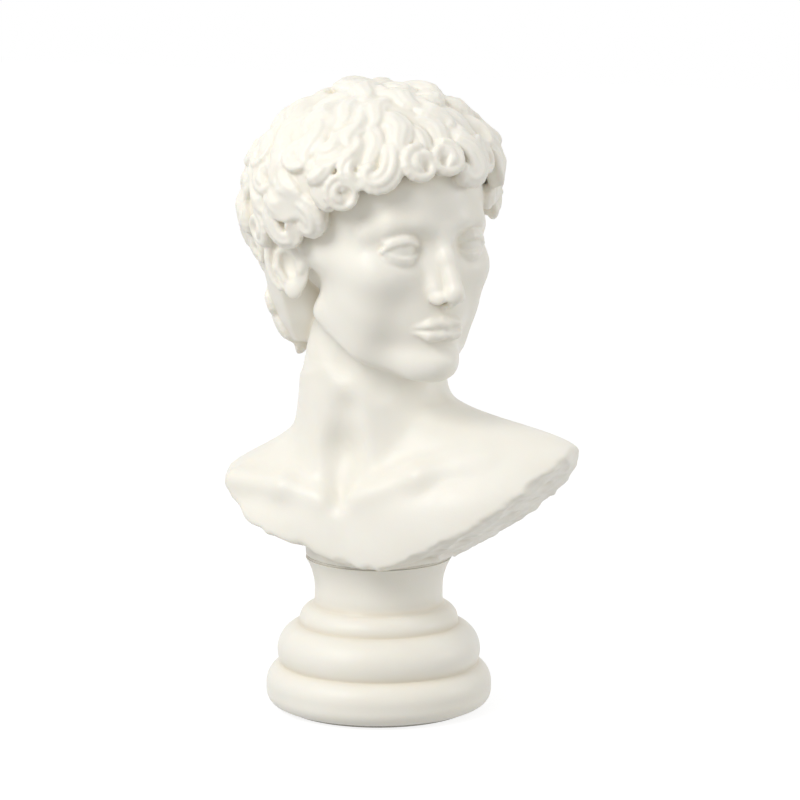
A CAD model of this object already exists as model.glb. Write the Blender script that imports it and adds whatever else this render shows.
import math

import bmesh
import bpy
import numpy as np
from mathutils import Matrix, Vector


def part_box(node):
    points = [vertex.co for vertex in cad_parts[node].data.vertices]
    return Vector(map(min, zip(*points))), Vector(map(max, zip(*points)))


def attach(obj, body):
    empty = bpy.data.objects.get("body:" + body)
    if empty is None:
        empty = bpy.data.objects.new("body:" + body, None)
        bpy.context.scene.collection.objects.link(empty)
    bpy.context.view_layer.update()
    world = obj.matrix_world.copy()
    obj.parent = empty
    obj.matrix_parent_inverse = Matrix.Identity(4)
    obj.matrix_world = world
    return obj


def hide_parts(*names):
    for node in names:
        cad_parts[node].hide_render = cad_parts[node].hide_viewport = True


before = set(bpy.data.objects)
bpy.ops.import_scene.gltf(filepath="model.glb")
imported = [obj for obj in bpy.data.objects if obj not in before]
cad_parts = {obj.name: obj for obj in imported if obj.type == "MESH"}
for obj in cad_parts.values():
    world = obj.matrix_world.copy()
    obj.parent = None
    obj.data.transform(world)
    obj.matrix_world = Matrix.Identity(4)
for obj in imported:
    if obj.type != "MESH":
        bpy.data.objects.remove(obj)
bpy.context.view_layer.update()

import openvdb
from mathutils import Matrix, Vector

# A 300 mm shelf bust of a curly-haired youth in white marble, on a turned socle.
# Lengths are written in millimetres, and the finished meshes are in metres.

# ---------------------------------------------------------------- bust
# The head, the neck and the hewn chest are carved from one block.  The shoulders lean and
# the head looks well round to the subject's left, over a strong neck.

MM = 0.001


def level(node, end):
    """Height of a CAD piece's foot (end 0) or top (end 1), in millimetres."""
    return round(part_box(node)[end][2] / MM, 1)


# The stone is modelled like clay: shapes are pressed together on a fine grid that holds the
# distance to the surface, and one skin is then drawn round the result.


def joined(a, b, soft):
    """The union of two distance fields, with a fillet about as wide as soft."""
    if soft <= 0:
        return np.minimum(a, b)
    fillet = np.maximum(soft - np.abs(a - b), 0.0) / soft
    return np.minimum(a, b) - fillet * fillet * soft * 0.25


def kept(a, b, soft):
    """The part that two distance fields share, with its edge rounded by about soft."""
    return -joined(-a, -b, soft)


def averaged(field, width):
    """A field averaged over a box of that many grid steps along each axis."""
    size = max(int(round(width / 2)), 1)
    for axis in range(3):
        lines = np.moveaxis(field, axis, 0)
        total = np.cumsum(lines, axis=0, dtype=np.float64)
        eased = lines.copy()
        eased[size + 1 : -size] = (total[2 * size + 1 :] - total[: -2 * size - 1]) / (2 * size + 1)
        field = np.moveaxis(eased, 0, axis)
    return field


class Place:
    """A frame for sculpting: a turn and an origin, in the bust's own millimetres."""

    def __init__(self, origin, turn):
        self.origin = np.array(origin, float)
        self.turn = np.array(turn, float)

    def out(self, point):
        return self.turn @ np.asarray(point, float) + self.origin

    def inside(self, x, y, z):
        """World coordinates as coordinates of this frame."""
        x, y, z = (v - np.float32(o) for v, o in zip((x, y, z), self.origin))
        turn = self.turn.astype(np.float32)
        return tuple(x * turn[0, i] + y * turn[1, i] + z * turn[2, i] for i in range(3))


class Clay:
    """Distance to the surface at each point of a grid, negative inside."""

    def __init__(self, low, high, step):
        self.step = step
        self.low = np.array(low, float)
        count = np.ceil((np.array(high) - self.low) / step).astype(int) + 1
        self.field = np.full(count, 12.0, np.float32)

    def window(self, low, high):
        """The grid's slices over a box, and the coordinates of its points."""
        first = np.maximum(np.floor((low - self.low) / self.step).astype(int), 0)
        last = np.ceil((high - self.low) / self.step).astype(int) + 1
        last = np.minimum(last, self.field.shape)
        if np.any(last <= first):
            return None, None
        cut = tuple(slice(a, b) for a, b in zip(first, last))
        axes = [self.low[i] + self.step * np.arange(first[i], last[i]) for i in range(3)]
        x = axes[0].astype(np.float32)[:, None, None]
        y = axes[1].astype(np.float32)[None, :, None]
        z = axes[2].astype(np.float32)[None, None, :]
        return cut, (x, y, z)

    def press(self, low, high, distance, soft, carve=False):
        """Adds a shape, or carves it away, where distance(x, y, z) is its distance field."""
        margin = soft + 2 * self.step
        cut, points = self.window(np.asarray(low) - margin, np.asarray(high) + margin)
        if cut is None:
            return
        shape = distance(*points)
        here = self.field[cut]
        self.field[cut] = kept(here, -shape, soft) if carve else joined(here, shape, soft)

    def egg(self, place, centre, radii, soft, lean=(0, 0, 0), carve=False):
        """An ellipsoid, leaned by angles in degrees about its frame's own axes."""
        tilts = [Matrix.Rotation(math.radians(a), 3, axis) for a, axis in zip(lean, "XYZ")]
        axes = (place.turn @ np.array(tilts[2] @ tilts[1] @ tilts[0])).T
        middle = place.out(centre)
        radii = np.array(radii, float)
        reach = np.sqrt((axes.T**2) @ (radii**2))

        def distance(x, y, z):
            x, y, z = (v - np.float32(m) for v, m in zip((x, y, z), middle))
            near = 0.0
            steep = 0.0
            for axis, radius in zip(axes.astype(np.float32), radii.astype(np.float32)):
                along = (x * axis[0] + y * axis[1] + z * axis[2]) / radius
                square = along * along
                near = near + square
                steep = steep + square / (radius * radius)
            near = np.sqrt(near)
            return near * (near - 1.0) / np.sqrt(steep + 1e-9)

        self.press(middle - reach, middle + reach, distance, soft, carve)

    def rope(self, place, points, radii, soft, carve=False):
        """A chain of round tapering sticks through the points."""
        points = [place.out(p) for p in points]
        radii = np.broadcast_to(np.asarray(radii, float), len(points))
        for (a, ra), (b, rb) in zip(zip(points, radii), zip(points[1:], radii[1:])):
            self.stick(a, b, ra, rb, soft, carve)

    def stick(self, a, b, ra, rb, soft, carve=False):
        way = (b - a).astype(np.float32)
        length = max(float(way @ way), 1e-6)
        thick = max(ra, rb)
        start = a.astype(np.float32)

        def distance(x, y, z):
            x, y, z = x - start[0], y - start[1], z - start[2]
            along = np.clip((x * way[0] + y * way[1] + z * way[2]) / length, 0.0, 1.0)
            x, y, z = x - along * way[0], y - along * way[1], z - along * way[2]
            return np.sqrt(x * x + y * y + z * z) - np.float32(ra) - np.float32(rb - ra) * along

        self.press(np.minimum(a, b) - thick, np.maximum(a, b) + thick, distance, soft, carve)

    def melt(self, place, centre, reach, width):
        """Averages the field in a ball, fading out towards its edge, so that masses flow together."""
        centre = place.out(centre)
        cut, (x, y, z) = self.window(centre - reach, centre + reach)
        away = np.sqrt((x - centre[0]) ** 2 + (y - centre[1]) ** 2 + (z - centre[2]) ** 2) / reach
        share = np.clip((1 - away) * 5, 0, 1).astype(np.float32)
        here = self.field[cut]
        calm = averaged(averaged(here, width / self.step), width / self.step)
        self.field[cut] = here + share * (calm - here)

    def soften(self, share):
        """One light pass that rounds the arrises as polishing does."""
        for axis in range(3):
            field = np.moveaxis(self.field, axis, 0)
            eased = field[1:-1] * (1 - share) + (field[:-2] + field[2:]) * (share / 2)
            field[1:-1] = eased

    def at(self, field, points):
        """Values of a field on this grid at points in between."""
        spot = (points - self.low) / self.step
        spot = np.clip(spot, 0, np.array(field.shape) - 1.001)
        base = spot.astype(int)
        part = spot - base
        total = np.zeros(len(points))
        for corner in np.ndindex(2, 2, 2):
            weight = np.prod(np.where(corner, part, 1 - part), axis=1)
            i, j, k = (base + corner).T
            total += weight * field[i, j, k]
        return total

    def skin(self, name):
        """A mesh of the surface, in metres, with how deep each point lies in a crevice."""
        grid = openvdb.FloatGrid(12.0)
        grid.copyFromArray(self.field)
        points, triangles, quads = grid.convertToPolygons(0.0, 0.0)
        points = self.low + np.asarray(points) * self.step
        faces = [tuple(reversed(f)) for f in quads.tolist()]
        faces += [tuple(reversed(f)) for f in triangles.tolist()]
        mesh = bpy.data.meshes.new(name)
        mesh.from_pydata((points * MM).tolist(), [], faces)
        mesh.update()
        hollow = -self.at(averaged(self.field, 5.0 / self.step), points) / 1.6
        mark = mesh.attributes.new("crevice", "FLOAT", "POINT")
        mark.data.foreach_set("value", np.clip(hollow, 0, 1).astype(np.float32))
        thing = bpy.data.objects.new(name, mesh)
        bpy.context.scene.collection.objects.link(thing)
        mesh.shade_smooth()
        return thing


HEAD_TURN = math.radians(58 - 90)
CHIN_HEIGHT = 162.0
SHOULDER_HEIGHT = 117.0
SHOULDER_TILT = math.radians(8)
BED_TOP = level("mortar_bed", 1)
SOCKET_TOP = level("anchor_resin", 1)
SOCKET_RADIUS = 6.0
SEAT_EDGE, SEAT_CLEARANCE = 34.5, 0.8

step = 0.65
clay = Clay((-92, -72, 60), (106, 74, 304), step)
rng = np.random.default_rng(11)

world = Place((0, 0, 0), np.eye(3))
head = Place((0, 0, CHIN_HEIGHT), Matrix.Rotation(HEAD_TURN, 3, "Z"))
chest = Place((0, 0, SHOULDER_HEIGHT), Matrix.Rotation(-SHOULDER_TILT, 3, "Y"))
sides = (-1, 1)


def eased(rows, blur):
    """A table of values over its first column, made smooth: fine rows averaged over that length."""
    rows = np.array(rows, float)
    fine = np.arange(rows[0, 0], rows[-1, 0] + 0.25, 0.5)
    weights = np.hanning(int(blur * 2) * 2 + 3)
    weights /= weights.sum()
    columns = [fine]
    for values in rows.T[1:]:
        values = np.interp(fine, rows[:, 0], values)
        wide = np.pad(values, len(weights) // 2, "reflect", reflect_type="odd")
        columns.append(np.convolve(wide, weights, "valid"))
    return np.array(columns)


def spread(table, where):
    """The table's other columns at those values of the first one."""
    return [np.interp(where, table[0], column) for column in table[1:]]


# The trunk round the chest and shoulders: height over the shoulder line, half width,
# half depth, how far forward and how far to the subject's left.
CHEST_FORM = eased([
    (-62, 92, 31, 12, 6),
    (-36, 101, 34, 9.5, 6),
    (-14, 100, 35, 5, 6),
    (0, 96, 32, 0, 6),
    (7, 80, 30, -2, 6),
    (14, 58, 29, -4, 5),
    (22, 40, 29, -4, 2),
    (34, 31, 30, -4, -2),
    (44, 27, 27, -4, -4),
], 9)


def trunk(x, y, z):
    across, y, up = chest.inside(x, y, z)
    width, depth, ahead, aside = spread(CHEST_FORM, up)
    power = 2.2
    outward = np.abs((across - aside) / width) ** power + np.abs((y + ahead) / depth) ** power
    return np.maximum((outward ** (1 / power) - 1) * depth * 0.9, up - 44.0).astype(np.float32)


clay.press((-92, -60, 60), (106, 50, 165), trunk, 0.0)

NECK = eased([(96, -4, 6, 34), (120, -4, 5, 30.5), (145, -4, 3, 27), (165, -3, 3, 27), (182, 0, 3, 27)], 8)
heights = np.arange(100, 183, 8)
clay.rope(world, np.stack((*spread(NECK, heights)[:2], heights), 1), spread(NECK, heights)[2], 12)


def on_neck(degrees, height, out):
    """A point round the neck: angle from the left shoulder, and how far out of its surface."""
    x, y, radius = spread(NECK, height)
    angle = math.radians(degrees)
    return (x + (radius + out) * math.cos(angle), y + (radius + out) * math.sin(angle), height)


# the two muscles from behind the ears to the notch of the breastbone, the windpipe,
# the collar bones and the breast
right_muscle = [(-142, 178, -3), (-134, 160, -2.5), (-122, 140, -1.5), (-110, 121, 0), (-100, 107, 3)]
left_muscle = [(40, 178, -4), (8, 162, -3.5), (-28, 142, -2), (-58, 122, -0.5), (-80, 107, 3)]
for muscle in (right_muscle, left_muscle):
    clay.rope(world, [on_neck(*place) for place in muscle], [7.5, 7.5, 6.5, 5.2, 4], 3.5)
clay.egg(world, on_neck(-76, 146, -2), (6, 6, 9), 6)
throat = [on_neck(-88, 146, 9), on_neck(-91, 128, 8), on_neck(-90, 110, 11)]
clay.rope(world, throat, [3.5, 5, 6], 11, carve=True)
for side in sides:
    collar = [(9 * side - 5, -35.5, -11), (34 * side, -32 + side, -4), (64 * side, -21 + 2 * side, 0)]
    clay.rope(chest, collar, [2.6, 3.2, 3], 9)
    clay.egg(chest, (38 * side + 4, -24, -28), (32, 14, 17), 10)
clay.rope(chest, [(-4, -47, -22), (-3, -52, -50)], [2, 3], 9, carve=True)
clay.melt(world, (-6, -32, 118), 48, 4)

# The hewn outline of the chest, seen from the front in the shoulders' frame: one even curve
# from shoulder to shoulder, cut as flat facets that lean a little to face forwards.
CUT_MIDDLE, CUT_REACH, CUT_DEPTH = 13.0, 86.0, 46.5
CUT_POWER = 1.4
CUT_LEAN = 0.1
OUTLINE = [(CUT_MIDDLE - CUT_REACH + 2, 40)]
for degrees in range(-90, 91, 15):
    share_x, share_z = math.sin(math.radians(degrees)), abs(math.cos(math.radians(degrees)))
    bulge = math.copysign(abs(share_x) ** (2 / CUT_POWER), share_x)
    OUTLINE.append((CUT_MIDDLE + CUT_REACH * bulge, -CUT_DEPTH * share_z ** (2 / CUT_POWER)))
OUTLINE.append((CUT_MIDDLE + CUT_REACH - 2, 40))


def waves(x, y, z, size, seed):
    """A smooth uneven field between about -1 and 1, with bumps of about that size."""
    dice = np.random.default_rng(seed)
    total = 0.0
    for _ in range(6):
        way = dice.normal(size=3)
        way = way * 2 * math.pi / (size * np.linalg.norm(way) * dice.uniform(1.3, 2.6))
        x_way, y_way, z_way = way.astype(np.float32)
        total = total + np.sin(x * x_way + y * y_way + z * z_way + np.float32(dice.uniform(0, 6.3)))
    return total / 3


def outside_the_cut(x, y, z):
    """How far inside the waste a point lies: the waste is everything past the hewn outline."""
    across, back, up = chest.inside(x, y, z)
    past = None
    for (ax, az), (bx, bz) in zip(OUTLINE, OUTLINE[1:]):
        length = math.hypot(bx - ax, bz - az)
        out_x, out_z = (bz - az) / length, -(bx - ax) / length
        gap = ((across - ax) * out_x + (up - az) * out_z - CUT_LEAN * (back + 25)) / math.hypot(1, CUT_LEAN)
        past = gap if past is None else np.maximum(past, gap)
    bites = 1.2 * waves(x, y * 0.3, z, 15, 3)
    chisel = np.abs(waves(x, y * 0.6, z, 9, 5)) * 1.5 + np.abs(waves(x, y * 0.5, z, 4, 8)) * 0.6
    return -(past + bites + chisel - 0.6)


clay.press((-92, -72, 60), (106, 74, 150), outside_the_cut, 2.6, carve=True)

# the pier that carries the chest on the socle
clay.rope(world, [(0, 0, 64), (0, 0, 77), (0, 3, 100)], [34.2, 33, 33], 5)

# skull, jaw and the masses of the face, melted together
clay.egg(head, (-2, 0, 77), (54.5, 44, 49), 0)
clay.egg(head, (18, 0, 84), (37, 37, 31), 8)
clay.egg(head, (21, 0, 48), (32.5, 34.5, 42), 8)
clay.egg(head, (37, 0, 28), (17, 17, 17), 8)
clay.egg(head, (43, 0, 9), (11, 12, 9), 8)
for side in sides:
    clay.rope(head, [(3, 29 * side, 29), (22, 21.5 * side, 14), (40, 7 * side, 7)], [8, 7.5, 7], 9)
    clay.egg(head, (22, 24 * side, 36), (17, 11, 20), 10)
    clay.egg(head, (34, 22.5 * side, 50), (14.5, 12, 10), 9)
    clay.rope(head, [(34, 27 * side, 54), (6, 37 * side, 57)], [5, 5], 10)
    clay.egg(head, (30, 47 * side, 80), (13, 7, 11), 9, carve=True)
    brow = [(50, 4 * side, 70.5), (49, 12 * side, 73), (44.5, 22 * side, 73), (36, 31 * side, 69)]
    clay.rope(head, brow, [4.4, 4.6, 4.4, 4], 6)
    clay.egg(head, (58, 18 * side, 62.5), (12, 12, 8), 5, carve=True)
clay.melt(head, (20, 0, 45), 62, 4.5)

# the hollow under the jaw
for side in sides:
    under = [(-4, 39 * side, 20), (14, 33 * side, 6), (32, 20 * side, -5), (44, 6 * side, -9)]
    clay.rope(head, under, [5, 6, 6.5, 6], 6, carve=True)

# eyes: the ball, then the lids' skin and rims on it
for side in sides:
    clay.egg(head, (41.6, 18 * side, 62), (8.8, 9, 8.6), 0.8)
    upper, lower = [], []
    for t in np.linspace(-1, 1, 11):
        lift = 1 - t * t
        reach = 50.9 - 1.2 * abs(t) - 4.4 * t * t - 0.6 * t
        upper.append((reach, (18 + 9.8 * t) * side, 61.2 + 4.5 * lift**0.75 + 0.2 * t))
        lower.append((reach - 0.5, (18 + 9.8 * t) * side, 61.2 - 3.3 * lift + 0.2 * t))
    clay.rope(head, upper, 1.2, 0.7)
    clay.rope(head, [(x - 0.7, y, z + 1.3) for x, y, z in upper[1:-1]], 1.35, 1.0)
    clay.rope(head, [(x - 2.4, y, z + 2.6) for x, y, z in upper[1:-1]], 1.3, 1.5)
    clay.rope(head, lower, 1.0, 0.7)
    clay.rope(head, [(x - 1.2, y, z - 1.6) for x, y, z in lower[1:-1]], 1.3, 1.4)

# nose
clay.rope(head, [(50.5, 0, 70), (56.2, 0, 58), (63.2, 0, 44)], [4.0, 3.2, 3.4], 3.5)
for side in sides:
    clay.rope(head, [(48, 3.6 * side, 62), (54.5, 4.4 * side, 44)], [3.2, 4.2], 4)
    clay.egg(head, (57.2, 5.8 * side, 40.0), (4.8, 2.8, 3.4), 1.2, (0, 0, -18 * side))
clay.egg(head, (62.4, 0, 41.4), (4.4, 4.4, 4.2), 2.5)
for side in sides:
    clay.egg(head, (59.6, 3.5 * side, 36.8), (3.2, 1.6, 1.9), 0.8, (0, 0, -20 * side), carve=True)
clay.rope(head, [(61, 0, 37.6), (56, 0, 35.4)], [1.8, 1.8], 1.2)

# mouth and chin
for side in sides:
    lip = [(54.9, 1.8 * side, 28.4), (53.3, 7 * side, 27.2), (49.2, 13.4 * side, 25.2)]
    clay.rope(head, lip, [2.4, 2.1, 1.0], 2.2)
    lip = [(54.6, 2.4 * side, 22.0), (53, 7 * side, 22.3), (49, 12.6 * side, 24.3)]
    clay.rope(head, lip, [2.8, 2.5, 1.1], 2.2)
clay.egg(head, (55.6, 0, 27.2), (2.0, 2.4, 1.8), 1.5)
for side in sides:
    line = [(57.9, 0, 24.9), (57.2, 3 * side, 25.3), (55.2, 7.5 * side, 25.0), (49.6, 14.2 * side, 24.6)]
    clay.rope(head, line, [0.8, 0.75, 0.75, 0.9], 0.7, carve=True)
    clay.egg(head, (51.2, 15.8 * side, 24.4), (2.2, 2.0, 2.4), 3, carve=True)
clay.rope(head, [(57, 0, 34.5), (58.2, 0, 30.4)], [1.2, 1.4], 1.6, carve=True)
clay.rope(head, [(57, -6, 15.4), (57.6, 0, 15.4), (57, 6, 15.4)], [3, 3.4, 3], 4, carve=True)
clay.egg(head, (48, 0, 8), (7.6, 8.5, 6.6), 4)

# ears: a leaf that leans out, its hollow, rim, inner ridge, lobe and front flap
for side in sides:
    def on_ear(across, rise, out):
        """Across is forwards on the ear, out is away from the head."""
        lean, flare = math.radians(10), math.radians(24)
        forward = across * math.cos(lean) - rise * math.sin(lean)
        up = across * math.sin(lean) + rise * math.cos(lean)
        x = -5 + forward * math.cos(flare) - out * math.sin(flare) * 0.5
        return (x, (44.6 - forward * math.sin(flare) + out * math.cos(flare)) * side, 52.5 + up)

    clay.egg(head, on_ear(0, 0, 0.6), (10, 2.6, 15.5), 1.5, (0, -10, -24 * side))
    rim = [on_ear(9.2 * math.cos(a), 1 + 15.5 * math.sin(a), 2.6 - 0.6 * math.cos(a)) for a in
           np.radians(np.linspace(-15, 235, 17))]
    clay.rope(head, rim, np.interp(np.arange(17), (0, 4, 12, 16), (1.2, 2.0, 2.0, 1.5)), 0.6)
    clay.egg(head, on_ear(1.5, -2.5, 5.2), (5.2, 4.6, 7.4), 1.0, (0, -10, -24 * side), carve=True)
    ridge = [on_ear(3, 8.5, 2.2), on_ear(-3.6, 5, 2.8), on_ear(-5, -2, 2.9), on_ear(-2.5, -8, 2.4)]
    clay.rope(head, ridge, 1.5, 1.2)
    clay.egg(head, on_ear(0.5, -13, 1.6), (4.4, 2.4, 4.4), 1.5, (0, -10, -24 * side))
    clay.egg(head, on_ear(7.2, -3.5, 2.6), (2.2, 1.8, 3.4), 1.2)


def seat(x, y, z):
    """The round seat that stands on the socle, and the socket for the rod above it."""
    away = np.sqrt(x * x + y * y)
    flat = np.maximum(away - SEAT_EDGE - SEAT_CLEARANCE, z - BED_TOP)
    return np.minimum(flat, np.maximum(away - SOCKET_RADIUS, z - SOCKET_TOP))


clay.press((-36, -36, 55), (36, 36, SOCKET_TOP), seat, 0.0, carve=True)

# Thick short hair round the skull, in the head's frame: height, half depth, half breadth
# and how far ahead.
HAIR_FORM = eased([
    (0, 12, 12, -33),
    (2, 17, 18, -33),
    (10, 27, 29, -31),
    (20, 35, 36, -28),
    (30, 41, 41, -25.5),
    (42, 46, 46, -22),
    (54, 50, 51, -17),
    (62, 55, 56, -13.5),
    (72, 59.5, 59.5, -10),
    (82, 62, 61, -6.5),
    (94, 63, 61, -3),
    (105, 59, 57.5, -1.5),
    (116, 50, 49.5, -1),
    (124, 40, 39.5, -1),
    (130, 28, 28, -1),
    (134, 14, 14, -1),
    (135.5, 3, 3, -1),
], 2)
WHORL = np.array((-12, 4, 134))

# The hairline: angle from the front in degrees, and the lowest hair there.
HAIRLINE = eased([
    (0, 96), (30, 94), (44, 84), (54, 72), (70, 66), (88, 63),
    (104, 54), (114, 32), (124, 14), (140, 2), (180, -2),
], 5)


def hair_point(angle, height):
    depth, breadth, ahead = spread(HAIR_FORM, height)
    return np.array((ahead + depth * math.cos(angle), breadth * math.sin(angle), height))


def hair_base(x, y, z):
    """The mass of hair under the locks."""
    x, y, z = head.inside(x, y, z)
    depth, breadth, ahead = spread(HAIR_FORM, z)
    outward = np.sqrt(((x - ahead) / depth) ** 2 + (y / breadth) ** 2)
    mass = (outward - 1) * depth * 0.9 + 4.0
    mass = np.maximum(mass, z - 128.5)
    line = spread(HAIRLINE, np.degrees(np.abs(np.arctan2(y, x + 4))))[0]
    return np.maximum(mass, (line + 8 - z) * 0.8).astype(np.float32)


middle = head.out((-4, 0, 66))
clay.press(middle - 75, middle + 75, hair_base, 0.6)

# big curls along the hairline, then the rest wherever there is room
roots = []
for degrees in np.arange(-172, 180, 15.5):
    angle = math.radians(degrees + rng.uniform(-3, 3))
    line = spread(HAIRLINE, abs(math.degrees(angle)))[0]
    height = line + rng.uniform(6, 10)
    roots.append((hair_point(angle, height), angle, height, "edge"))
for _ in range(9000):
    angle = rng.uniform(-math.pi, math.pi)
    height = 135 * rng.uniform(0.02, 1) ** 0.8
    root = hair_point(angle, height)
    line = spread(HAIRLINE, abs(math.degrees(angle)))[0]
    if height > line + 12 and all(np.linalg.norm(root - other[0]) > 11.5 for other in roots):
        roots.append((root, angle, height, "crown" if height > 117 else "side"))

STEPS = 14
shares = np.linspace(0, 1, STEPS + 1)


def lock_line(form, hand, drift):
    """The middle of a lock laid flat, growing along the first axis: a ring, a hook or a wave."""
    if form == "ring":
        turn = math.pi + hand * math.radians(340) * shares
        reach = rng.uniform(6.0, 7.0) - 3.0 * shares
        return np.stack((reach * np.cos(turn), reach * np.sin(turn)), 1)
    if form == "hook":
        bends = drift + hand * (0.9 * shares + 3.3 * shares**3 - 0.8)
        length = rng.uniform(28, 34)
    else:
        bends = drift + hand * (0.9 * np.sin(2 * math.pi * (0.1 + 0.8 * shares)) + 1.3 * shares**3)
        length = rng.uniform(29, 35)
    steps = np.stack((np.cos(bends), np.sin(bends)), 1) * (length / STEPS)
    middle = np.cumsum(steps, 0) - steps[0]
    return middle - middle.mean(0) * 0.8


# Locks lower down are laid first, and each new one first clears a bed for itself.
for root, angle, height, zone in sorted(roots, key=lambda r: (r[3] == "edge", r[2])):
    across = hair_point(angle + 0.02, height) - hair_point(angle - 0.02, height)
    upward = hair_point(angle, min(height + 1, 135.5)) - hair_point(angle, height - 1)
    normal = np.cross(across, upward)
    normal /= np.linalg.norm(normal)
    away = root - WHORL
    away -= normal * (away @ normal)
    away /= max(np.linalg.norm(away), 1e-6)
    aside = np.cross(normal, away)
    odds = {"edge": (0.6, 0.4, 0.0), "side": (0.2, 0.4, 0.4), "crown": (0.0, 0.3, 0.7)}[zone]
    form = ("ring", "hook", "wave")[rng.choice(3, p=odds)]
    hand = rng.choice((-1, 1))
    drift = 0.5 * math.sin(2.3 * angle + height / 17) + rng.normal(0, 0.2)
    line = lock_line(form, hand, drift)
    ball = 58.0 if height > 50 else 44.0
    layer = rng.uniform(-2.4, 1.6) + (0.8 if zone == "edge" else 0)
    centre = root - normal * ball
    along = np.gradient(line, axis=0)
    along /= np.linalg.norm(along, axis=1)[:, None]
    left = np.stack((-along[:, 1], along[:, 0]), 1)
    thick = rng.uniform(1.9, 2.4)
    if form == "ring":
        strands = (-0.65, 0.65)
        width = np.ones(STEPS + 1)
        rise = np.interp(shares, (0, 0.3, 1), (-0.5, 1.6, 0.2))
    else:
        strands = (-1.5, -0.5, 0.5, 1.5) if form == "wave" else (-1.1, 0, 1.1)
        width = np.interp(shares, (0, 0.35, 0.75, 1), (0.8, 1, 0.8, 0.35))
        rise = np.interp(shares, (0, 0.25, 0.6, 1), (-2.5, 0.2, 1.2, 0.3))

    def over_ball(flat, up):
        out = root + flat[:, :1] * away + flat[:, 1:] * aside - centre
        out /= np.linalg.norm(out, axis=1)[:, None]
        return centre + out * (ball + layer + up)[:, None]

    # the body of the lock, and its strands over it
    half = max(strands) * thick * 1.45 * width + thick
    deep = 1.6 * np.interp(shares, (0, 0.4, 1), (0.1, 1, 0.9))
    clear = half + 0.7
    around = (clear**2 + deep**2) / (2 * deep)
    clay.rope(head, over_ball(line, around - deep)[::2], around[::2], 1.0, carve=True)
    body = half * 0.85
    clay.rope(head, over_ball(line, rise - 2.1 - body)[::2], body[::2], 1.4)
    for strand in strands:
        sag = 0.8 * abs(strand) ** 1.5
        path = over_ball(line + left * (strand * thick * 1.45 * width)[:, None], rise - thick - sag)
        slim = thick * np.interp(shares, (0, 0.5, 1), (0.9, 1.0, 0.7))
        clay.rope(head, path, slim, 0.7)
    if form == "ring":
        eye_of_curl = over_ball(line[-8:].mean(0, keepdims=True), np.zeros(1))[0]
        clay.egg(head, eye_of_curl, (2.4, 2.4, 3.2), 1.6, carve=True)

clay.soften(0.5)

# One shared group gives every surface its unevenness, in real sizes from the object's own
# coordinates: clouds of 35 mm, patches of 4 mm, and grain of 1 mm.
grain = bpy.data.node_groups.new("surface_grain", "ShaderNodeTree")
group_out = grain.nodes.new("NodeGroupOutput")
coordinates = grain.nodes.new("ShaderNodeTexCoord")
for socket, size, detail in (("Cloud", 0.035, 4), ("Patch", 0.004, 5), ("Grain", 0.001, 6)):
    grain.interface.new_socket(socket, in_out="OUTPUT", socket_type="NodeSocketFloat")
    texture = grain.nodes.new("ShaderNodeTexNoise")
    texture.inputs["Scale"].default_value = 1 / size
    texture.inputs["Detail"].default_value = detail
    texture.inputs["Roughness"].default_value = 0.55
    grain.links.new(coordinates.outputs["Object"], texture.inputs["Vector"])
    grain.links.new(texture.outputs["Fac"], group_out.inputs[socket])


class Finish:
    """A material whose colour, roughness and bump vary with the shared grain."""

    def __init__(self, name):
        self.material = bpy.data.materials.new(name)
        self.material.use_nodes = True
        self.tree = self.material.node_tree
        self.shader = self.tree.nodes["Principled BSDF"]
        self.grain = self.tree.nodes.new("ShaderNodeGroup")
        self.grain.node_tree = grain

    def set(self, **values):
        for name, value in values.items():
            self.shader.inputs[name.replace("_", " ")].default_value = value

    def ramp(self, source, low, high, to_low=0.0, to_high=1.0):
        made = self.tree.nodes.new("ShaderNodeMapRange")
        numbers = (("From Min", low), ("From Max", high), ("To Min", to_low), ("To Max", to_high))
        for name, value in numbers:
            made.inputs[name].default_value = value
        self.tree.links.new(source, made.inputs["Value"])
        return made.outputs["Result"]

    def blend(self, factor, first, second):
        """Mixes two colours, each a socket or three numbers."""
        made = self.tree.nodes.new("ShaderNodeMix")
        made.data_type = "RGBA"
        for socket, value in ((made.inputs[6], first), (made.inputs[7], second)):
            if isinstance(value, tuple):
                socket.default_value = (*value, 1)
            else:
                self.tree.links.new(value, socket)
        self.tree.links.new(factor, made.inputs[0])
        return made.outputs[2]

    def colour(self, source):
        self.tree.links.new(source, self.shader.inputs["Base Color"])

    def rough(self, low, high, source="Patch"):
        share = self.ramp(self.grain.outputs[source], 0.3, 0.7, low, high)
        self.tree.links.new(share, self.shader.inputs["Roughness"])

    def bump(self, height, depth, strength=0.4):
        made = self.tree.nodes.new("ShaderNodeBump")
        made.inputs["Distance"].default_value = depth
        made.inputs["Strength"].default_value = strength
        self.tree.links.new(height, made.inputs["Height"])
        self.tree.links.new(made.outputs["Normal"], self.shader.inputs["Normal"])


def marble(name):
    """Fine white marble, honed: warm clouding, a satin skin, and tone in the crevices."""
    stone = Finish(name)
    cloud = stone.ramp(stone.grain.outputs["Cloud"], 0.35, 0.65)
    colour = stone.blend(cloud, (0.875, 0.85, 0.775), (0.855, 0.825, 0.74))
    mark = stone.tree.nodes.new("ShaderNodeAttribute")
    mark.attribute_name = "crevice"
    depth = stone.ramp(mark.outputs["Fac"], 0.0, 0.9, 0.0, 0.85)
    stone.colour(stone.blend(depth, colour, (0.72, 0.65, 0.52)))
    stone.rough(0.36, 0.5)
    stone.bump(stone.grain.outputs["Grain"], 0.0001, 0.35)
    stone.set(Subsurface_Weight=0.25, Subsurface_Radius=(1.0, 0.75, 0.5), Subsurface_Scale=0.002)
    stone.set(Specular_IOR_Level=0.4)
    return stone.material


def hand_over(thing, node, material):
    """Rides on the object in place of its CAD node and material."""
    thing.data.materials.append(material)
    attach(thing, "root")
    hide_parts(node)


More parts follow.
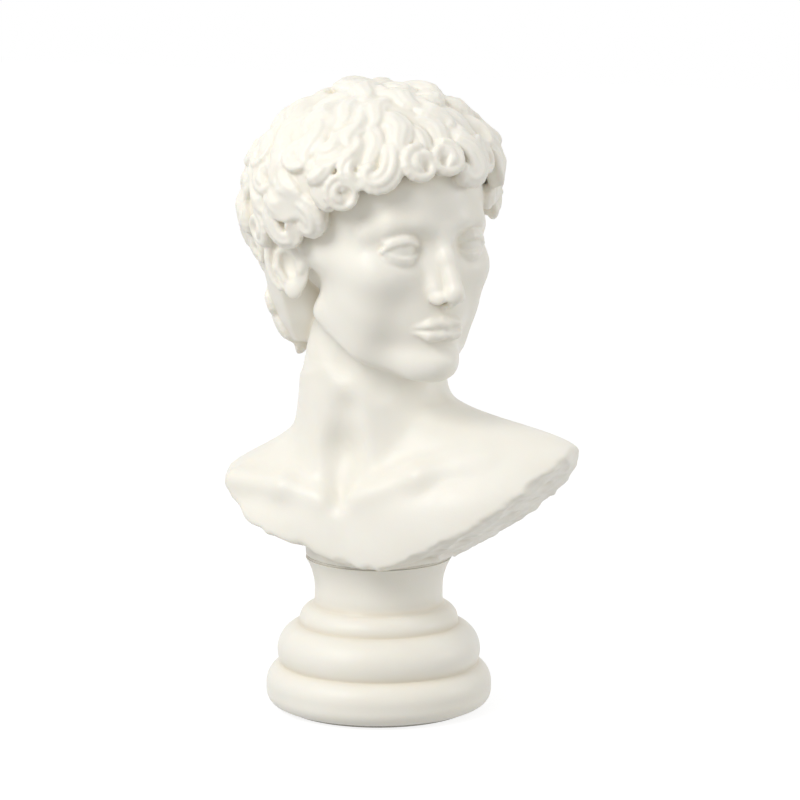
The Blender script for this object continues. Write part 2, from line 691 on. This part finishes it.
skin = clay.skin("bust_stone")
hand_over(skin, "bust", marble("carved_marble"))

# ---------------------------------------------------------------- socle
# Turned in one piece: two rolls with a groove between them, a small ring, a waist and a
# flared top, bored for the rod, with a recess underneath for its nut.

TURNS = 192


def arc(start, end, radius, side, count):
    """Points along an arc between two points, its ends included; side +1 bulges to the left."""
    start, end = np.array(start, float), np.array(end, float)
    chord = end - start
    half = np.linalg.norm(chord) / 2
    left = np.array((-chord[1], chord[0])) / (2 * half)
    centre = (start + end) / 2 - left * side * math.sqrt(max(radius**2 - half**2, 0))
    first = math.atan2(*(start - centre)[::-1])
    sweep = -side * 2 * math.asin(min(half / radius, 1))
    angles = first + sweep * np.linspace(0, 1, count)
    return [tuple(centre + radius * np.array((math.cos(a), math.sin(a)))) for a in angles]


def ring_solid(name, rows, turns=TURNS, sweep=360.0):
    """A solid swept round the Z axis.  Each row is a radius and a height in millimetres, as
    numbers or as arrays round the turn, and the last row joins the first."""
    whole = sweep == 360.0
    angles = np.radians(np.linspace(0, sweep, turns, endpoint=not whole))
    points = []
    for radius, height in rows:
        radius = np.broadcast_to(radius, turns)
        height = np.broadcast_to(height, turns)
        points.append(np.stack((radius * np.cos(angles), radius * np.sin(angles), height), 1))
    count = len(rows)
    faces = []
    for i in range(count):
        after = (i + 1) % count
        for j in range(turns if whole else turns - 1):
            step_on = (j + 1) % turns
            near, far = i * turns, after * turns
            faces.append((near + j, near + step_on, far + step_on, far + j))
    if not whole:
        faces.append(tuple(i * turns for i in range(count)))
        faces.append(tuple(i * turns + turns - 1 for i in reversed(range(count))))
    mesh = bpy.data.meshes.new(name)
    mesh.from_pydata((np.concatenate(points) * MM).tolist(), [], faces)
    shape = bmesh.new()
    shape.from_mesh(mesh)
    bmesh.ops.remove_doubles(shape, verts=shape.verts, dist=1e-7)
    bmesh.ops.recalc_face_normals(shape, faces=shape.faces)
    shape.to_mesh(mesh)
    shape.free()
    mesh.shade_smooth()
    mesh.set_sharp_from_angle(angle=math.radians(40))
    thing = bpy.data.objects.new(name, mesh)
    bpy.context.scene.collection.objects.link(thing)
    return thing


SEAT_TOP = level("socle", 1)
FELT_TOP = level("felt_ring", 1)
RECESS_ROOF = level("flat_washer", 1)
BORE_RADIUS, RECESS_RADIUS = 4.5, 16.0
ROLL_RADIUS, FOOT_ROUND = 53.2, 6.5
LOW_ROLL_ROUND, HIGH_ROLL_ROUND, RING_ROUND = 10.3, 13.2, 7.4
GROOVE, RING_FOOT, RING_TOP = (46.5, 21.45), (37.5, 40.4), (31.6, 49.0)
WAIST_RADIUS, WAIST_FOOT, WAIST_TOP = 30.2, 53.5, 57.0

foot_start = (ROLL_RADIUS - FOOT_ROUND, FELT_TOP)
outer = arc(foot_start, (ROLL_RADIUS, FELT_TOP + FOOT_ROUND), FOOT_ROUND, -1, 24)
outer += arc((ROLL_RADIUS, 11.8), GROOVE, LOW_ROLL_ROUND, -1, 40)
outer += arc(GROOVE, RING_FOOT, HIGH_ROLL_ROUND, -1, 60)
outer += arc((RING_FOOT[0], 41.6), RING_TOP, RING_ROUND, -1, 24)
outer += arc(RING_TOP, (WAIST_RADIUS, WAIST_FOOT), 6.0, 1, 12)
outer += arc((WAIST_RADIUS, WAIST_TOP), (SEAT_EDGE, SEAT_TOP), 28.31, 1, 40)
outer = np.array(outer)

# points every 0.35 mm along the outside, with the arrises and creases eased as by polishing
lengths = np.concatenate(([0], np.cumsum(np.linalg.norm(np.diff(outer, axis=0), axis=1))))
even = np.arange(0, lengths[-1], 0.35)
outer = np.stack([np.interp(even, lengths, column) for column in outer.T], 1)
weights = np.hanning(9)
weights /= weights.sum()
wide = np.pad(outer, ((4, 4), (0, 0)), "reflect", reflect_type="odd")
outer = np.stack([np.convolve(column, weights, "valid") for column in wide.T], 1)
inner = [
    (SEAT_EDGE - 0.3, SEAT_TOP), (BORE_RADIUS + 0.4, SEAT_TOP), (BORE_RADIUS, SEAT_TOP - 0.4),
    (BORE_RADIUS, RECESS_ROOF), (RECESS_RADIUS - 0.4, RECESS_ROOF), (RECESS_RADIUS, RECESS_ROOF - 0.4),
    (RECESS_RADIUS, FELT_TOP + 1.0), (RECESS_RADIUS + 1.0, FELT_TOP),
]
socle = ring_solid("socle_stone", [tuple(p) for p in outer] + inner)

# the same marks as on the bust, for the tone in the creases
creases = np.array((GROOVE, (37.5, 40.6), (31.2, 50.5)))
places = np.empty(len(socle.data.vertices) * 3)
socle.data.vertices.foreach_get("co", places)
places = places.reshape(-1, 3) / MM
flat = np.stack((np.hypot(places[:, 0], places[:, 1]), places[:, 2]), 1)
near = np.min(np.linalg.norm(flat[:, None] - creases[None], axis=2), axis=1)
mark = socle.data.attributes.new("crevice", "FLOAT", "POINT")
mark.data.foreach_set("value", (0.9 * np.exp(-near / 1.8)).astype(np.float32))
hand_over(socle, "socle", marble("turned_marble"))

# ---------------------------------------------------------------- mortar bed
# A millimetre of white setting mortar between the two stones.  It is squeezed out unevenly
# and struck off at the edge.

round_again = np.linspace(0, 2 * math.pi, TURNS, endpoint=False)
uneven = sum(np.sin(round_again * n + n * n) * 0.22 / n for n in (3, 5, 8, 13))
bed = ring_solid("mortar", [
    (BORE_RADIUS, SEAT_TOP), (33.5 + uneven, SEAT_TOP), (33.9 + uneven * 0.6, SEAT_TOP + 0.3),
    (33.9 + uneven * 0.6, BED_TOP - 0.3), (33.6 + uneven, BED_TOP), (BORE_RADIUS, BED_TOP),
])
mortar = Finish("setting_mortar")
patch = mortar.ramp(mortar.grain.outputs["Patch"], 0.3, 0.7)
mortar.colour(mortar.blend(patch, (0.8, 0.77, 0.7), (0.72, 0.69, 0.61)))
mortar.rough(0.8, 0.95)
mortar.bump(mortar.grain.outputs["Grain"], 0.0004, 0.7)
hand_over(bed, "mortar_bed", mortar.material)

# ---------------------------------------------------------------- fixing rod
# An M8 rod of stainless steel with a rolled thread, chamfered at both ends.  It passes
# through the socle and is set in resin in the bust.


def steel(name, bright, dull, rough):
    """Small steel hardware: a slightly clouded grey with fine handling marks."""
    metal = Finish(name)
    patch = metal.ramp(metal.grain.outputs["Patch"], 0.35, 0.65)
    metal.colour(metal.blend(patch, bright, dull))
    metal.rough(rough, rough + 0.16)
    metal.bump(metal.grain.outputs["Grain"], 0.00003, 0.3)
    metal.set(Metallic=1.0)
    return metal.material


ROD_FOOT, ROD_TOP = level("fixing_rod", 0), level("fixing_rod", 1)
ROD_RADIUS, PITCH = 4.0, 1.25
around = 48
turn_share = np.arange(around) / around
rows = [(0.02, ROD_FOOT)]
for height in np.arange(ROD_FOOT, ROD_TOP + 0.01, PITCH / 8):
    phase = (height / PITCH - turn_share) % 1.0
    thread = ROD_RADIUS - 0.77 * np.clip((np.abs(phase - 0.5) * 2 - 0.125) / 0.625, 0, 1)
    end = 3.2 + min(height - ROD_FOOT, ROD_TOP - height)
    rows.append((np.minimum(thread, end), height))
rows.append((0.02, ROD_TOP))
rod = ring_solid("threaded_rod", rows, turns=around)
stainless = steel("stainless_steel", (0.62, 0.61, 0.6), (0.52, 0.52, 0.51), 0.26)
hand_over(rod, "fixing_rod", stainless)

# ---------------------------------------------------------------- anchor resin
# Cast polyester resin, clouded and honey coloured.  It fills the socket in the bust round
# the rod and over the rod's top end.

RESIN_RADIUS = 5.98
resin_rows = [
    (ROD_RADIUS + 0.01, BED_TOP), (RESIN_RADIUS - 0.18, BED_TOP), (RESIN_RADIUS, BED_TOP + 0.3),
    (RESIN_RADIUS, SOCKET_TOP - 0.8), (5.4, SOCKET_TOP - 0.1), (0.02, SOCKET_TOP - 0.05),
    (0.02, ROD_TOP + 0.05), (3.25, ROD_TOP + 0.05), (ROD_RADIUS + 0.01, ROD_TOP - 0.75),
]
resin = ring_solid("resin", resin_rows, turns=64)
cast = Finish("anchor_resin")
cloud = cast.ramp(cast.grain.outputs["Patch"], 0.35, 0.65)
cast.colour(cast.blend(cloud, (0.62, 0.53, 0.34), (0.5, 0.43, 0.28)))
cast.rough(0.25, 0.4)
cast.bump(cast.grain.outputs["Grain"], 0.0001, 0.3)
cast.set(Subsurface_Weight=0.3, Subsurface_Scale=0.003)
hand_over(resin, "anchor_resin", cast.material)

# ---------------------------------------------------------------- washers and nut
# A large flat washer under the recess's roof, a split spring washer and an M8 nut, all
# zinc plated.

NUT_FOOT = level("fixing_nut", 0)
SPRING_FOOT = level("spring_washer", 0)
WASHER_FOOT = level("flat_washer", 0)
washer = ring_solid("flat_washer_metal", [
    (4.35, WASHER_FOOT), (11.75, WASHER_FOOT), (12.0, WASHER_FOOT + 0.25), (12.0, RECESS_ROOF - 0.12),
    (11.88, RECESS_ROOF), (4.2, RECESS_ROOF), (4.2, WASHER_FOOT + 0.15),
], turns=96)
zinc = steel("zinc_plated_steel", (0.7, 0.71, 0.72), (0.6, 0.61, 0.6), 0.3)
hand_over(washer, "flat_washer", zinc)

spring = ring_solid("spring_washer_metal", [
    (4.3, SPRING_FOOT), (7.25, SPRING_FOOT), (7.4, SPRING_FOOT + 0.15), (7.4, WASHER_FOOT - 0.15),
    (7.25, WASHER_FOOT), (4.3, WASHER_FOOT), (4.2, WASHER_FOOT - 0.1), (4.2, SPRING_FOOT + 0.1),
], turns=96, sweep=351.0)
spring_zinc = steel("spring_zinc", (0.66, 0.67, 0.67), (0.55, 0.56, 0.55), 0.34)
hand_over(spring, "spring_washer", spring_zinc)

# a hexagon of 13 mm across its flats, its corners turned off by a cone at both faces
round_again = np.linspace(0, 2 * math.pi, 96, endpoint=False)
flats = 6.5 / np.cos((round_again + math.pi / 6) % (math.pi / 3) - math.pi / 6)
slope = np.maximum(flats - 6.35, 0) * math.tan(math.radians(30))
nut = ring_solid("hexagon_nut", [
    (4.6, NUT_FOOT), (6.3, NUT_FOOT), (flats, NUT_FOOT + slope), (flats, SPRING_FOOT - slope),
    (6.3, SPRING_FOOT), (4.6, SPRING_FOOT), (ROD_RADIUS + 0.02, SPRING_FOOT - 0.6),
    (ROD_RADIUS + 0.02, NUT_FOOT + 0.6),
], turns=96)
nut_zinc = steel("nut_zinc", (0.72, 0.73, 0.73), (0.62, 0.63, 0.62), 0.28)
hand_over(nut, "fixing_nut", nut_zinc)

# ---------------------------------------------------------------- felt ring
# A ring of pressed wool felt with a soft cut edge, glued under the socle.  It leaves the
# nut's recess open.

felt = ring_solid("felt", [
    (19.15, 0.0), (44.5, 0.0), (44.7, 0.35), (44.65, 1.2),
    (44.4, FELT_TOP), (19.2, FELT_TOP), (19.0, 1.2), (19.0, 0.3),
])
wool = Finish("felt")
patch = wool.ramp(wool.grain.outputs["Grain"], 0.3, 0.7)
wool.colour(wool.blend(patch, (0.62, 0.6, 0.54), (0.48, 0.46, 0.41)))
wool.rough(0.9, 1.0)
wool.bump(wool.grain.outputs["Grain"], 0.0006, 0.9)
wool.set(Sheen_Weight=0.4, Sheen_Roughness=0.6)
hand_over(felt, "felt_ring", wool.material)

# ---------------------------------------------------------------- studio
# A camera with a long lens looks a little down on the bust.  The lamps are soft, and the
# pale floor keeps a faint shadow.

LOOK_AT = (0, 0, 0.1463)
VIEW_WIDTH = 0.3744
RIGHT_OF_AXIS = 0.01006
CAMERA_TURN, CAMERA_RISE, CAMERA_AWAY = math.radians(24), math.radians(10), 1.8


def turned_to(turn, rise):
    """A rotation that looks level at the origin from -Y, then turned round and raised."""
    return Matrix.Rotation(turn, 3, "Z") @ Matrix.Rotation(math.pi / 2 - rise, 3, "X")


def aimed(thing, turn, rise, away, target=LOOK_AT):
    view = turned_to(turn, rise)
    thing.matrix_world = Matrix.Translation(Vector(target) + view.col[2] * away) @ view.to_4x4()
    bpy.context.scene.collection.objects.link(thing)


camera = bpy.data.objects.new("camera", bpy.data.cameras.new("camera"))
camera.data.lens = camera.data.sensor_width * CAMERA_AWAY / VIEW_WIDTH
beside = turned_to(CAMERA_TURN, CAMERA_RISE).col[0] * RIGHT_OF_AXIS
aimed(camera, CAMERA_TURN, CAMERA_RISE, CAMERA_AWAY, Vector(LOOK_AT) + beside)
bpy.context.scene.camera = camera

# name, turn from -Y, rise, distance, size, power
LAMPS = [
    ("key_lamp", -24, 38, 1.5, 0.8, 12),
    ("rim_lamp", 112, 12, 1.3, 0.5, 3),
    ("top_lamp", 20, 80, 1.4, 0.9, 0.8),
]
for name, turn, rise, away, size, power in LAMPS:
    lamp = bpy.data.objects.new(name, bpy.data.lights.new(name, "AREA"))
    lamp.data.shape = "DISK"
    lamp.data.size = size
    lamp.data.energy = power
    aimed(lamp, math.radians(turn), math.radians(rise), away)


def white_when_seen(tree):
    """1 for rays that come straight from the camera or by way of glass or metal, 0 for light."""
    rays = tree.nodes.new("ShaderNodeLightPath")
    seen = rays.outputs["Is Camera Ray"]
    for name in ("Is Glossy Ray", "Is Transmission Ray"):
        either = tree.nodes.new("ShaderNodeMath")
        either.operation = "MAXIMUM"
        tree.links.new(seen, either.inputs[0])
        tree.links.new(rays.outputs[name], either.inputs[1])
        seen = either.outputs[0]
    return seen


def strength_for(tree, unseen, seen):
    """A strength that differs for light and for the background that is seen."""
    made = tree.nodes.new("ShaderNodeMapRange")
    made.inputs["To Min"].default_value = unseen
    made.inputs["To Max"].default_value = seen
    tree.links.new(white_when_seen(tree), made.inputs["Value"])
    return made.outputs["Result"]


sky = bpy.data.worlds.new("sky")
sky.use_nodes = True
background = sky.node_tree.nodes["Background"]
background.inputs["Color"].default_value = (1, 1, 1, 1)
sky.node_tree.links.new(strength_for(sky.node_tree, 0.6, 1.0), background.inputs["Strength"])
bpy.context.scene.world = sky

# the floor: white paper that keeps a faint shadow
sheet = bpy.data.meshes.new("floor")
FLOOR_EDGE = 3.0
corners = [(x * FLOOR_EDGE, y * FLOOR_EDGE, 0) for x, y in ((-1, -1), (1, -1), (1, 1), (-1, 1))]
sheet.from_pydata(corners, [], [(0, 1, 2, 3)])
floor = bpy.data.objects.new("floor", sheet)
bpy.context.scene.collection.objects.link(floor)
paper = bpy.data.materials.new("floor_paper")
paper.use_nodes = True
surface = paper.node_tree.nodes["Principled BSDF"]
surface.inputs["Base Color"].default_value = (0.3, 0.3, 0.3, 1)
surface.inputs["Roughness"].default_value = 0.9
surface.inputs["Specular IOR Level"].default_value = 0.1
surface.inputs["Emission Color"].default_value = (1, 1, 1, 1)
paper.node_tree.links.new(strength_for(paper.node_tree, 0.25, 0.8), surface.inputs["Emission Strength"])
sheet.materials.append(paper)

bpy.context.scene.view_settings.view_transform = "Standard"
